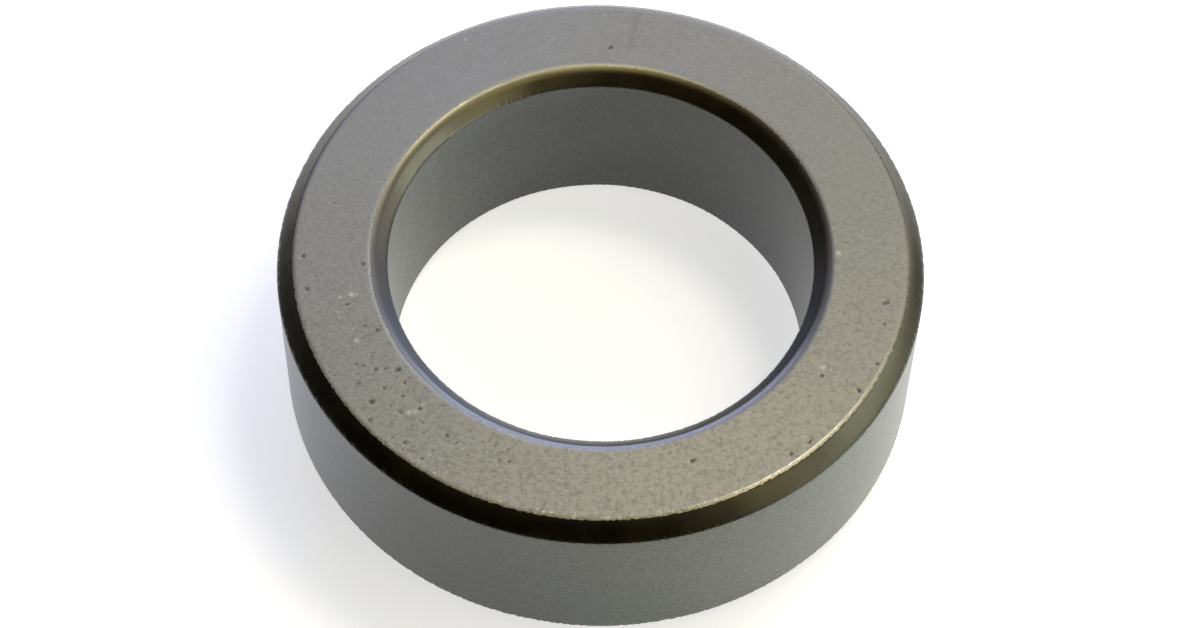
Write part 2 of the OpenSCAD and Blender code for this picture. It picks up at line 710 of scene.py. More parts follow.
    def _painted_reflections(
        self, theta: np.ndarray, rows: SectionRows, bore_lip: np.ndarray, outer_lip: np.ndarray
    ) -> np.ndarray:
        """Reflections painted on the bore lips, and more thinly on the chamfers, which lean more than the
        lips.

        Args:
            theta: angles round the ring.
            rows: the section's rows.
            bore_lip: how far each row on the bore side leans, from 0 to 1.
            outer_lip: how far each upper row on the outer side leans, from 0 to 1.

        Returns:
            Strength from 0 to 1, angles by rows.
        """
        flank = np.interp(rows.lean(), self.flank_deg, UNIT)
        bore_flank = np.where(bore_lip > 0.0, flank, 0.0)
        outer_flank = np.where(outer_lip > 0.0, flank, 0.0)
        bore = self.thin_painted_reflection_share * np.outer(self.thin_painted_reflection.strength(theta), bore_flank)
        outer = self.outer_painted_reflection_share * np.outer(self.outer_painted_reflection.strength(theta), outer_flank)
        return np.maximum(np.outer(self.haze.strength(theta), bore_lip), bore + outer)

    def _painted_lip_shading(self, theta: np.ndarray, rows: SectionRows) -> np.ndarray:
        """Light and shade painted over the upper outer lip, where the ground face runs out into the fired
        chamfer.

        It is strongest where the two finishes meet and falls to both sides. The finishes cube it, so
        it is given as a cube root.

        Args:
            theta: angles round the ring.
            rows: the section's rows.

        Returns:
            Strength from 0 to 1, angles by rows.
        """
        across = np.interp(self.section.outer_r - rows.radius, self.shading_inset, self.shading_shares)
        here = self.section.upper_half(rows.height) & ~self.section.bore_side(rows.radius)
        sides = np.maximum(self.shading_right.strength(theta), self.shading_left.strength(theta))
        around = np.maximum(sides, self.shading_least)
        return np.cbrt(np.outer(around, np.where(here, across, 0.0)))

    def _pale_grains(self, theta: np.ndarray, rows: SectionRows) -> np.ndarray:
        """Pale grains in the upper face.

        Args:
            theta: angles round the ring.
            rows: the section's rows.

        Returns:
            Strength from 0 to 1, angles by rows.
        """
        here = rows.part(Zone.FACE) & self.section.upper_half(rows.height)
        strength = np.zeros((theta.size, rows.radius.size))
        strength[:, here] = self.grains.depth(theta, rows.radius[here])
        return strength / strength.max()

    def _near_outer_lip(self, rows: SectionRows) -> np.ndarray:
        """How near each upper row is to the outer lip.

        Args:
            rows: the section's rows.

        Returns:
            One value a row, from 0 to 1 where the lip begins.
        """
        lip_start = rows.radius[rows.part(Zone.FACE) & (rows.lean() < self.flat_lean_deg)].max()
        near = np.clip(1.0 - (lip_start - rows.radius) / self.crumb_reach, 0.0, 1.0)
        return np.where(self.section.upper_half(rows.height), near, 0.0)


@dataclass
class ToroidCore:
    """The core itself: one closed skin over the section, turned about the axis, with wear and painted light.
    """

    section: RingSection
    wear: Wear
    columns: int = 1080
    upper_pits: PitField = PitField(noted=NOTED_PITS)
    lower_pits: PitField = PitField(seed=23, crowd=Stretch(60.0, 34.0))
    outer_edge: RaggedEdge = RaggedEdge(0.018 * MM, 0.042 * MM, 0.08 * MM, 31)
    bore_edge: RaggedEdge = RaggedEdge(0.012 * MM, 0.022 * MM, 0.035 * MM, 41)
    lip_edge: RaggedEdge = RaggedEdge(0.008 * MM, 0.016 * MM, 0.02 * MM, 51)
    edge_set_back: float = 0.02 * MM
    edge_most: float = 0.11 * MM
    outer_lip_down: float = 0.035 * MM
    chips: Stretch = Stretch(-95.0, 40.0)
    chip_least: float = 0.2
    chip_depth: float = 0.03 * MM
    chip_waves: tuple[int, int] = (70, 300)
    chip_crest: Span = (1.1, 2.7)
    chip_seed: int = 61

    def skin(self) -> tuple[np.ndarray, np.ndarray, dict[Mark, np.ndarray]]:
        """Works out the skin as a function of the angle and of the way along the section.

        A point is the section's own point, moved along the section by the ragged edges, pushed
        inwards by pits and chips, and turned by its angle about the axis.

        Returns:
            Points as columns by rows by three, the strips' zones, and the wear and painted light on each
            point.
        """
        rows = self.section.rows()
        theta = np.arange(self.columns) * FULL_TURN / self.columns
        upper = self.section.upper_half(rows.height)
        pit = np.zeros((self.columns, rows.radius.size))
        face = rows.part(Zone.FACE)
        for side, pits in ((upper, self.upper_pits), (~upper, self.lower_pits)):
            pit[:, face & side] = pits.depth(theta, rows.radius[face & side])
        chip = self._lip_chips(theta, rows)
        push = pit + chip * self.chip_depth
        bite, slide = self._ragged(theta, rows)
        radius = rows.radius - push * rows.out_radius - slide * rows.out_height
        height = rows.height - push * rows.out_height + slide * rows.out_radius + bite
        x, y = radius * np.cos(theta)[:, None], radius * np.sin(theta)[:, None]
        marks = self.wear.marks(theta, rows, x, y)
        marks[Mark.PIT] = np.clip(pit / self.upper_pits.deepest(), 0.0, 1.0)
        marks[Mark.CHIP] = chip
        return np.stack([x, y, height], axis=-1), rows.zone, marks

    def _lip_chips(self, theta: np.ndarray, rows: SectionRows) -> np.ndarray:
        """Crumbs broken out of the outer lips, at the crests of a wave and mostly along one stretch.

        Args:
            theta: angles round the ring.
            rows: the section's rows.

        Returns:
            Strength from 0 to 1, angles by rows.
        """
        crest = np.interp(ring_noise(theta, self.chip_waves, self.chip_seed), self.chip_crest, UNIT)
        strength = crest * (self.chip_least + (1.0 - self.chip_least) * self.chips.strength(theta))
        return strength[:, None] * np.isin(rows.lip, (Rim.UPPER_OUTER.value, Rim.LOWER_OUTER.value))

    def _ragged(self, theta: np.ndarray, rows: SectionRows) -> tuple[np.ndarray, np.ndarray]:
        """Moves the lines where one finish gives way to the next.

        A chamfer's wall edge moves along the axis, only ever into the wall. A lip's line between
        face and fired skin moves along the section, both ways.

        Args:
            theta: angles round the ring.
            rows: the section's rows.

        Returns:
            Moves along the axis and along the section, in metres, angles by rows.
        """
        bite = np.zeros((theta.size, rows.radius.size))
        slide = np.zeros_like(bite)
        for rim in Rim:
            wall_edge = self.outer_edge if rim in (Rim.LOWER_OUTER, Rim.UPPER_OUTER) else self.bore_edge
            inwards = 1.0 if rim in (Rim.LOWER_OUTER, Rim.LOWER_BORE) else -1.0
            reach = np.clip(wall_edge.reach(theta, rim) + self.edge_set_back, 0.0, self.edge_most)
            bite += np.where(rows.edge == rim.value, inwards * reach[:, None], 0.0)
            down = self.outer_lip_down if rim is Rim.UPPER_OUTER else 0.0
            along = self.lip_edge.reach(theta, rim) - down * self.wear.outer_polish.strength(theta)
            slide += np.where(rows.lip == rim.value, along[:, None], 0.0)
        return bite, slide

    def build(self) -> bpy.types.Object:
        """Makes the skin's mesh, closed both ways, with quads between neighbouring rows and columns.

        Returns:
            The finished object, at the origin.
        """
        points, zones, marks = self.skin()
        columns, rows = points.shape[:2]
        quads = grid_quads(columns, rows).reshape(-1, 4)
        mesh = bpy.data.meshes.new(CORE_NODE + "_skin")
        mesh.vertices.add(columns * rows)
        mesh.vertices.foreach_set("co", points.astype(np.float32).ravel())
        mesh.loops.add(quads.size)
        mesh.loops.foreach_set("vertex_index", quads.astype(np.int32).ravel())
        mesh.polygons.add(len(quads))
        mesh.polygons.foreach_set("loop_start", np.arange(0, quads.size, 4, dtype=np.int32))
        mesh.polygons.foreach_set("material_index", np.tile(zones, columns).astype(np.int32))
        mesh.polygons.foreach_set("use_smooth", np.ones(len(quads), dtype=bool))
        for mark, values in marks.items():
            layer = mesh.attributes.new(mark.value, "FLOAT", "POINT")
            layer.data.foreach_set("value", values.astype(np.float32).ravel())
        mesh.update(calc_edges=True)
        mesh.validate()
        core = bpy.data.objects.new("ferrite_core", mesh)
        bpy.context.scene.collection.objects.link(core)
        return core

    def dress(self, core: bpy.types.Object) -> None:
        """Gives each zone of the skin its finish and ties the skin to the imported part.

        Args:
            core: the object that build() made.
        """
        for zone in Zone:
            core.data.materials.append(FINISHES[zone].material())
        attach(core, CORE_BODY)
        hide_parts(CORE_NODE)


class Graph:
    """Short ways to lay out the nodes of one material or group."""

    def __init__(self, tree: bpy.types.NodeTree) -> None:
        """Takes over a node tree and empties it."""
        self.tree = tree
        tree.nodes.clear()

    def node(self, kind: str, **settings: object) -> bpy.types.Node:
        """Adds a node.

        Args:
            kind: the node's type name.
            settings: properties to set on it.

        Returns:
            The new node.
        """
        made = self.tree.nodes.new(kind)
        for name, value in settings.items():
            setattr(made, name, value)
        return made

    def link(self, source: Socket, target: Socket) -> None:
        """Joins an output to an input."""
        self.tree.links.new(source, target)

    def put(self, target: Socket, value: Socket | float | tuple[float, ...]) -> None:
        """Feeds an input.

        Args:
            target: the input.
            value: an output to join to it, or a plain value to set.
        """
        if isinstance(value, Socket):
            self.link(value, target)
        else:
            target.default_value = value

    def math(self, operation: str, first: Socket | float, second: Socket | float = 0.0) -> Socket:
        """Adds a Math node.

        Args:
            operation: what it does.
            first: its first input.
            second: its second input.

        Returns:
            The result.
        """
        made = self.node("ShaderNodeMath", operation=operation)
        self.put(made.inputs[0], first)
        self.put(made.inputs[1], second)
        return made.outputs[0]

    def times(self, first: Socket, second: Socket | float) -> Socket:
        """Multiplies two values."""
        return self.math("MULTIPLY", first, second)

    def blend(self, share: Socket | float, first: Socket | Colour, second: Socket | Colour) -> Socket:
        """Mixes two colours.

        Args:
            share: how much of the second colour is in the mix, from 0 to 1.
            first: the first colour.
            second: the second colour.

        Returns:
            The mix.
        """
        made = self.node("ShaderNodeMix", data_type="RGBA")
        self.put(made.inputs["Factor"], share)
        for name, value in (("A", first), ("B", second)):
            target = next(s for s in made.inputs if s.name == name and s.type == "RGBA")
            self.put(target, value if isinstance(value, Socket) else (*value, 1.0))
        return next(s for s in made.outputs if s.type == "RGBA")

    def spread(self, value: Socket, source: Span, target: Span = UNIT) -> Socket:
        """Maps a value from one range to another, held at both ends.

        Args:
            value: the value to map.
            source: the range that it comes in.
            target: the range that it goes to.

        Returns:
            The mapped value.
        """
        made = self.node("ShaderNodeMapRange", clamp=True)
        self.link(value, made.inputs["Value"])
        for name, number in zip(("From Min", "From Max", "To Min", "To Max"), (*source, *target)):
            made.inputs[name].default_value = number
        return made.outputs["Result"]

    def place(self, group: bpy.types.NodeTree, **values: float) -> bpy.types.Node:
        """Places a node group.

        Args:
            group: the group.
            values: its inputs by name.

        Returns:
            The group's node.
        """
        made = self.node("ShaderNodeGroup", node_tree=group)
        for name, value in values.items():
            made.inputs[name].default_value = value
        return made

    def object_point(self) -> Socket:
        """Where the shaded point lies in the object's own coordinates."""
        return self.node("ShaderNodeTexCoord").outputs["Object"]


def group_tree(
    name: str, inputs: dict[str, float], outputs: tuple[str, ...]
) -> tuple[Graph, bpy.types.Node, bpy.types.Node]:
    """Starts a shader node group with plain number sockets.

    Args:
        name: the group's name.
        inputs: input names and their default values.
        outputs: output names.

    Returns:
        The group's graph, its input node and its output node.
    """
    tree = bpy.data.node_groups.new(name, "ShaderNodeTree")
    for label, value in inputs.items():
        tree.interface.new_socket(label, in_out="INPUT", socket_type="NodeSocketFloat").default_value = value
    for label in outputs:
        tree.interface.new_socket(label, in_out="OUTPUT", socket_type="NodeSocketFloat")
    graph = Graph(tree)
    return graph, graph.node("NodeGroupInput"), graph.node("NodeGroupOutput")


def granule_group() -> bpy.types.NodeTree:
    """Pressed granules: a cell pattern whose cells differ in tone and bulge, over fine grit.

    Returns:
        The group, with Granules and Grit a metre as inputs, and Tone and Height as outputs.
    """
    name = "Granules"
    if name in bpy.data.node_groups:
        return bpy.data.node_groups[name]
    cell_share, grit_share, bulge_share = 0.15, 0.85, 0.4
    graph, given, made = group_tree(name, {"Granules": 4500.0, "Grit": 12000.0}, ("Tone", "Height"))
    at = graph.object_point()
    cells = graph.node("ShaderNodeTexVoronoi", feature="F1")
    grit = graph.node("ShaderNodeTexNoise")
    for texture, scale in ((cells, "Granules"), (grit, "Grit")):
        graph.link(at, texture.inputs["Vector"])
        graph.link(given.outputs[scale], texture.inputs["Scale"])
    grit.inputs["Detail"].default_value = 3.0
    grit.inputs["Roughness"].default_value = 0.5
    split = graph.node("ShaderNodeSeparateColor")
    graph.link(cells.outputs["Color"], split.inputs["Color"])
    fine = graph.times(grit.outputs[0], grit_share)
    graph.link(graph.math("ADD", graph.times(split.outputs[0], cell_share), fine), made.inputs["Tone"])
    bulge = graph.math("SUBTRACT", 1.0, cells.outputs["Distance"])
    graph.link(graph.math("ADD", graph.times(bulge, bulge_share), fine), made.inputs["Height"])
    return graph.tree


def mottle_group() -> bpy.types.NodeTree:
    """Broad cloudy patches of tone, from soft noise.

    Returns:
        The group, with Patches a metre as its input and Share, from 0 to 1, as its output.
    """
    name = "Mottle"
    if name in bpy.data.node_groups:
        return bpy.data.node_groups[name]
    noise_range = (0.32, 0.68)
    graph, given, made = group_tree(name, {"Patches": 200.0}, ("Share",))
    cloud = graph.node("ShaderNodeTexNoise")
    graph.link(graph.object_point(), cloud.inputs["Vector"])
    graph.link(given.outputs["Patches"], cloud.inputs["Scale"])
    cloud.inputs["Detail"].default_value = 3.0
    graph.link(graph.spread(cloud.outputs[0], noise_range), made.inputs["Share"])
    return graph.tree


def speck_group() -> bpy.types.NodeTree:
    """Scattered specks: the middles of a few cells of a cell pattern, picked by the cells' own tone.

    Returns:
        The group, with Specks a metre, their Size as a share of a cell and the Picked share as
        inputs, and Mask as its output.
    """
    name = "Specks"
    if name in bpy.data.node_groups:
        return bpy.data.node_groups[name]
    soft_rim = (0.5, 1.0)
    inputs = {"Specks": 2500.0, "Size": 0.3, "Picked": 0.1}
    graph, given, made = group_tree(name, inputs, ("Mask",))
    cells = graph.node("ShaderNodeTexVoronoi", feature="F1")
    graph.link(graph.object_point(), cells.inputs["Vector"])
    graph.link(given.outputs["Specks"], cells.inputs["Scale"])
    split = graph.node("ShaderNodeSeparateColor")
    graph.link(cells.outputs["Color"], split.inputs["Color"])
    picked = graph.math("LESS_THAN", split.outputs[1], given.outputs["Picked"])
    near = graph.math("DIVIDE", cells.outputs["Distance"], given.outputs["Size"])
    soft = graph.math("SUBTRACT", 1.0, graph.spread(near, soft_rim))
    graph.link(graph.times(picked, soft), made.inputs["Mask"])
    return graph.tree


@dataclass(frozen=True)
class Specks:
    """A scatter of specks: cells a metre, a speck's size as a share of its cell, and the share picked."""

    per_metre: float
    size: float
    picked: float

    def mask(self, graph: Graph) -> Socket:
        """Places the scatter in a graph and gives its mask."""
        group = graph.place(speck_group(), Specks=self.per_metre, Size=self.size, Picked=self.picked)
        return group.outputs["Mask"]


@dataclass(frozen=True)
class Finish:
    """What the finishes share: a name, granules and grit a metre, and how the shader is set up."""

    title: str = "ferrite"
    ior: float = 2.0
    granules: float = 4500.0
    grit: float = 12000.0
    rough_tone: Span = (0.2, 0.8)

    def start(self) -> tuple[bpy.types.Material, Graph, bpy.types.Node]:
        """Makes an empty material with its shader.

        Returns:
            The material, its graph and its shader node.
        """
        material = bpy.data.materials.new(self.title)
        material.use_nodes = True
        graph = Graph(material.node_tree)
        shader = graph.node("ShaderNodeBsdfPrincipled")
        shader.inputs["IOR"].default_value = self.ior
        output = graph.node("ShaderNodeOutputMaterial")
        graph.link(shader.outputs["BSDF"], output.inputs["Surface"])
        return material, graph, shader

    def grained(self, graph: Graph) -> bpy.types.Node:
        """Places the finish's granules and grit."""
        return graph.place(granule_group(), Granules=self.granules, Grit=self.grit)

    @staticmethod
    def clouds(graph: Graph, per_metre: float) -> Socket:
        """Places cloudy patches, so many a metre."""
        return graph.place(mottle_group(), Patches=per_metre).outputs["Share"]

    @staticmethod
    def mark(graph: Graph, mark: Mark) -> Socket:
        """Reads one kind of wear, or of painted light, from the skin's vertices."""
        return graph.node("ShaderNodeAttribute", attribute_name=mark.value).outputs["Fac"]

    def blend_painted_lip_shading(self, graph: Graph, body: Socket, soft: Colour) -> Socket:
        """Blends in the light and shade painted over the lip, which the skin holds as a cube root."""
        return graph.blend(graph.math("POWER", self.mark(graph, Mark.SOFT), 3.0), body, soft)

    def material(self) -> bpy.types.Material:
        """Builds the finish's material."""
        raise NotImplementedError

    @staticmethod
    def emboss(graph: Graph, shader: bpy.types.Node, height: Socket, depth: float) -> None:
        """Bumps the shader's normal.

        Args:
            graph: the material's graph.
            shader: the material's shader.
            height: the bump's height, from 0 to 1.
            depth: what its full range stands for, in metres.
        """
        bump = graph.node("ShaderNodeBump")
        bump.inputs["Strength"].default_value = 1.0
        bump.inputs["Distance"].default_value = depth
        graph.link(height, bump.inputs["Height"])
        graph.link(bump.outputs["Normal"], shader.inputs["Normal"])


@dataclass(frozen=True)
class GroundFace(Finish):
    """Flat faces: matte, granular and open-pored, with dark pits, a few pale grains, and painted light,
    shade and highlights.
    """

    title: str = "ground_face"
    ior: float = 1.8
    granules: float = 4600.0
    grit: float = 4200.0
    dark: Colour = (0.168, 0.158, 0.126)
    pale: Colour = (0.334, 0.322, 0.275)
    # paler, warmer granules where the face is worn and painted with warm light
    worn_and_lit_dark: Colour = (0.268, 0.248, 0.178)
    worn_and_lit_pale: Colour = (0.545, 0.519, 0.398)
    tone_range: Span = (0.29, 0.58)
    tint_cool: Colour = (0.262, 0.270, 0.258)
    tint_warm: Colour = (0.306, 0.284, 0.226)
    tint_green: Colour = (0.250, 0.285, 0.222)
    tint_pink: Colour = (0.322, 0.274, 0.250)
    warm_patches: float = 2900.0
    green_patches: float = 3700.0
    tint_share: Span = (0.3, 0.62)
    # painted cool light: a bluish colour laid over the back-left in cloudy patches
    cool: Colour = (0.316, 0.323, 0.343)
    painted_cool_patches: float = 180.0
    painted_cool_share: Span = (0.55, 0.8)
    # painted shade on the face's part of the upper outer lip
    soft: Colour = (0.115, 0.110, 0.095)
    # a painted highlight on the bore lip at the back
    rubbed: Colour = (0.85, 0.80, 0.50)
    painted_bore_highlight_share: float = 0.9
    # a painted bluish reflection on the bore lips
    haze: Colour = (0.52, 0.56, 0.60)
    painted_reflection_share: float = 0.5
    grain: Colour = (0.90, 0.85, 0.67)
    grain_share: float = 0.68
    # how strongly the outer lip's painted highlight takes the grains' pale colour
    painted_outer_highlight_share: float = 0.6
    scattered: Specks = Specks(3400.0, 0.3, 0.05)
    scattered_share: float = 0.35
    crumbs: Specks = Specks(4300.0, 0.5, 0.5)
    pit: Colour = (0.115, 0.105, 0.078)
    pit_range: Span = (0.28, 0.5)
    fray: Span = (-0.25, 0.25)
    fray_tone: Span = (0.3, 0.7)
    pores: Specks = Specks(4400.0, 0.36, 0.10)
    pore_share: Span = (0.08, 0.6)
    smudge_share: float = 0.5
    skin: Colour = (0.05, 0.045, 0.035)
    skin_share: float = 0.85
    roughness: Span = (0.5, 0.68)
    polish: float = 0.42
    bump_depth: float = 0.018 * MM

    def material(self) -> bpy.types.Material:
        """Builds the material: tone from granules and patches, pits and grains from the skin's own wear, and
        painted light.

        Returns:
            The material.
        """
        material, graph, shader = self.start()
        granules = self.grained(graph)
        tone = granules.outputs["Tone"]
        pores = self.pores.mask(graph)
        body = self._pale_marks(graph, self._body(graph, tone))
        graph.link(self._dark_marks(graph, body, tone, pores), shader.inputs["Base Color"])
        dull = graph.spread(tone, self.rough_tone, self.roughness)
        polish = graph.times(self.mark(graph, Mark.LIP), self.polish)
        graph.link(graph.math("SUBTRACT", dull, polish), shader.inputs["Roughness"])
        height = graph.math("SUBTRACT", granules.outputs["Height"], pores)
        self.emboss(graph, shader, height, self.bump_depth)
        return material

    def _body(self, graph: Graph, tone: Socket) -> Socket:
        """Mixes the colour: dark and pale granules, a worn side painted with warm light, tinted patches,
        painted cool light, painted lip shade.

        Args:
            graph: the material's graph.
            tone: the granules' tone.

        Returns:
            The colour.
        """
        # paler and warmer at the front-right: partly sandier wear, partly painted warm light
        worn = self.mark(graph, Mark.WORN_AND_LIT)
        dark = graph.blend(worn, self.dark, self.worn_and_lit_dark)
        pale = graph.blend(worn, self.pale, self.worn_and_lit_pale)
        body = graph.blend(graph.spread(tone, self.tone_range), dark, pale)
        warm = graph.blend(self.clouds(graph, self.warm_patches), self.tint_cool, self.tint_warm)
        green = graph.blend(self.clouds(graph, self.green_patches), self.tint_green, self.tint_pink)
        tinted = graph.spread(self.mark(graph, Mark.CALM), UNIT, self.tint_share)
        body = graph.blend(tinted, body, graph.blend(0.5, warm, green))
        # painted cool light on the back-left, broken into cloudy patches
        patchy = graph.spread(self.clouds(graph, self.painted_cool_patches), UNIT, self.painted_cool_share)
        body = graph.blend(graph.times(self.mark(graph, Mark.PAINTED_COOL_LIGHT), patchy), body, self.cool)
        # painted shade on the outer lip
        return self.blend_painted_lip_shading(graph, body, self.soft)

    def _pale_marks(self, graph: Graph, body: Socket) -> Socket:
        """Adds what is paler than the body: painted highlights and reflections on the lips, single grains
        and crumbs.

        Args:
            graph: the material's graph.
            body: the colour so far.

        Returns:
            The colour.
        """
        layers = (
            # painted highlight on the bore lip
            (Mark.PAINTED_BORE_HIGHLIGHT, self.painted_bore_highlight_share, self.rubbed),
            # painted reflection on the bore lips
            (Mark.PAINTED_REFLECTION, self.painted_reflection_share, self.haze),
            # painted highlight on the outer lip, in the grains' pale colour
            (Mark.PAINTED_OUTER_HIGHLIGHT, self.painted_outer_highlight_share, self.grain),
        )
        for mark, share, colour in layers:
            body = graph.blend(graph.times(self.mark(graph, mark), share), body, colour)
        scattered = graph.times(self.scattered.mask(graph), self.scattered_share)
        grains = graph.math("MAXIMUM", scattered, self.mark(graph, Mark.GRAIN))
        crumbled = graph.times(self.crumbs.mask(graph), self.mark(graph, Mark.CRUMB))
        pale = graph.math("MAXIMUM", grains, crumbled)
        return graph.blend(graph.times(pale, self.grain_share), body, self.grain)

    def _dark_marks(self, graph: Graph, body: Socket, tone: Socket, pores: Socket) -> Socket:
        """Adds what is darker than the body: pits, pores, rub marks and skin that was never ground off.

        Args:
            graph: the material's graph.
            body: the colour so far.
            tone: the granules' tone, which frays the pits' outlines.
            pores: where the fine pores are.

        Returns:
            The colour.
        """
        open_share = graph.spread(self.mark(graph, Mark.POROUS), UNIT, self.pore_share)
        frayed = graph.spread(tone, self.fray_tone, self.fray)
        pitted = graph.spread(graph.math("ADD", self.mark(graph, Mark.PIT), frayed), self.pit_range)
        hollow = graph.math("MAXIMUM", pitted, graph.times(pores, open_share))
        smudged = graph.times(self.mark(graph, Mark.SMUDGE), self.smudge_share)
        body = graph.blend(graph.math("MAXIMUM", hollow, smudged), body, self.pit)
        return graph.blend(graph.times(self.mark(graph, Mark.UNGROUND), self.skin_share), body, self.skin)


@dataclass(frozen=True)
class GroundWall(Finish):
    """Outer and bore walls: satin grey with fine lines round the ring."""

    title: str = "ground_wall"
    ior: float = 1.45
    granules: float = 6000.0
    grit: float = 6000.0
    dark: Colour = (0.055, 0.064, 0.060)
    pale: Colour = (0.159, 0.183, 0.171)
    tone_range: Span = (0.38, 0.62)
    lines: tuple[float, float, float] = (250.0, 250.0, 9000.0)
    line_share: float = 0.22
    pore: Colour = (0.05, 0.05, 0.05)
    pores: Specks = Specks(2800.0, 0.26, 0.06)
    pore_share: float = 0.6
    bare: Colour = (0.42, 0.43, 0.41)
    bare_share: float = 0.7
    roughness: Span = (0.30, 0.42)
    coat: float = 0.35
    coat_ior: float = 1.4
    coat_roughness: float = 0.22
    bump_depth: float = 0.004 * MM

    def material(self) -> bpy.types.Material:
        """Builds the material: grit, and noise drawn out round the ring as grinding lines.

        Returns:
            The material.
        """
        material, graph, shader = self.start()
        tone = self._tone(graph)
        body = graph.blend(graph.spread(tone, self.tone_range), self.dark, self.pale)
        body = graph.blend(graph.times(self.pores.mask(graph), self.pore_share), body, self.pore)
        bared = graph.times(self.mark(graph, Mark.EDGE), self.bare_share)
        graph.link(graph.blend(bared, body, self.bare), shader.inputs["Base Color"])
        shader.inputs["Coat Weight"].default_value = self.coat
        shader.inputs["Coat IOR"].default_value = self.coat_ior
        shader.inputs["Coat Roughness"].default_value = self.coat_roughness
        graph.link(graph.spread(tone, self.rough_tone, self.roughness), shader.inputs["Roughness"])
        self.emboss(graph, shader, tone, self.bump_depth)
        return material

    def _tone(self, graph: Graph) -> Socket:
        """Mixes the granules' tone with noise that is much finer along the axis than across it.

        Args:
            graph: the material's graph.

        Returns:
            The tone.
        """
        drawn = graph.node("ShaderNodeMapping")
        drawn.inputs["Scale"].default_value = self.lines
        graph.link(graph.object_point(), drawn.inputs["Vector"])
        noise = graph.node("ShaderNodeTexNoise")
        noise.inputs["Scale"].default_value = 1.0
        graph.link(drawn.outputs["Vector"], noise.inputs["Vector"])
        plain = graph.times(self.grained(graph).outputs["Tone"], 1.0 - self.line_share)
        return graph.math("ADD", plain, graph.times(noise.outputs[0], self.line_share))


@dataclass(frozen=True)
class FiredSkin(Finish):
    """Chamfers and lips: the dark, glossy skin left by firing, a little brown and uneven, with painted
    reflections and highlights.
    """

    title: str = "fired_skin"
    ior: float = 1.65
    granules: float = 3800.0
    grit: float = 9000.0
    gloss: Colour = (1.0, 0.93, 0.70)
    dark: Colour = (0.003, 0.002, 0.0007)
    brown: Colour = (0.012, 0.0085, 0.003)
    brown_patches: float = 420.0
    # a painted grey reflection on the outer chamfer
    haze: Colour = (0.097, 0.100, 0.083)
    # a painted highlight on the bore lip at the back
    rubbed: Colour = (0.40, 0.34, 0.14)
    # a painted paler tone on the fired part of the outer lip, in place of a reflection
    soft: Colour = (0.170, 0.163, 0.145)
    chip: Colour = (0.42, 0.39, 0.29)
    chip_roughness: float = 0.3
    roughness: Span = (0.24, 0.30)
    bump_depth: float = 0.0015 * MM

    def material(self) -> bpy.types.Material:
        """Builds the material: brown clouds on black, painted reflections, highlight and lip tone, soft
        gloss, and paler grain where it is chipped.

        Returns:
            The material.
        """
        material, graph, shader = self.start()
        clouds = self.clouds(graph, self.brown_patches)
        body = graph.blend(clouds, self.dark, self.brown)
        # painted reflections on the chamfers
        body = graph.blend(self.mark(graph, Mark.PAINTED_REFLECTION), body, self.haze)
        # painted highlight on the bore lip
        body = graph.blend(self.mark(graph, Mark.PAINTED_BORE_HIGHLIGHT), body, self.rubbed)
        # painted paler tone on the fired part of the outer lip, in place of a reflection
        body = self.blend_painted_lip_shading(graph, body, self.soft)
        chipped = self.mark(graph, Mark.CHIP)
        graph.link(graph.blend(chipped, body, self.chip), shader.inputs["Base Color"])
        shader.inputs["Specular Tint"].default_value = (*self.gloss, 1.0)
        sheen = graph.spread(clouds, UNIT, self.roughness)
        rough = graph.math("ADD", sheen, graph.times(chipped, self.chip_roughness))
        graph.link(rough, shader.inputs["Roughness"])
        self.emboss(graph, shader, self.grained(graph).outputs["Height"], self.bump_depth)
        return material


FINISHES: dict[Zone, Finish] = {
    Zone.FACE: GroundFace(),
    Zone.WALL: GroundWall(),
    Zone.FIRED: FiredSkin(),
    Zone.BORE_FIRED: FiredSkin(
        "fired_bore",
        ior=2.15,
        gloss=(1.0, 0.95, 0.78),
        dark=(0.010, 0.006, 0.0015),
        brown=(0.020, 0.0135, 0.004),
        # a painted bluish reflection on the bore chamfers
        haze=(0.120, 0.136, 0.190),
        roughness=(0.29, 0.37),
    ),
    Zone.BORE_WALL: GroundWall(
        "bore_wall",
        ior=1.6,
        dark=(0.056, 0.064, 0.067),
        pale=(0.156, 0.180, 0.188),
        coat=0.0,
    ),
}


@dataclass(frozen=True)
class SoftBox:
    """A soft rectangular lamp, aimed at the core's middle."""

    name: str
    azimuth_deg: float
    elevation_deg: float
    distance: float
    size: Span
    colour: Colour
    watts: float

    def towards(self) -> Vector:
        """The way from the core to the lamp, as a unit vector."""
        turn, rise = math.radians(self.azimuth_deg), math.radians(self.elevation_deg)
        return Vector((math.cos(turn) * math.cos(rise), math.sin(turn) * math.cos(rise), math.sin(rise)))

    def place(self, aim: Vector) -> bpy.types.Object:
        """Hangs the lamp.

        Args:
            aim: the point that it faces.

        Returns:
            The lamp's object.
        """
        lamp = bpy.data.lights.new(self.name, "AREA")
        lamp.shape = "RECTANGLE"
        lamp.size, lamp.size_y = self.size
        lamp.color = self.colour
        lamp.energy = self.watts
        holder = bpy.data.objects.new(self.name, lamp)
        holder.location = aim + self.towards() * self.distance
        holder.rotation_mode = "QUATERNION"
        holder.rotation_quaternion = self.towards().to_track_quat("Z", "Y")
        holder.visible_camera = False
        bpy.context.scene.collection.objects.link(holder)
        return holder


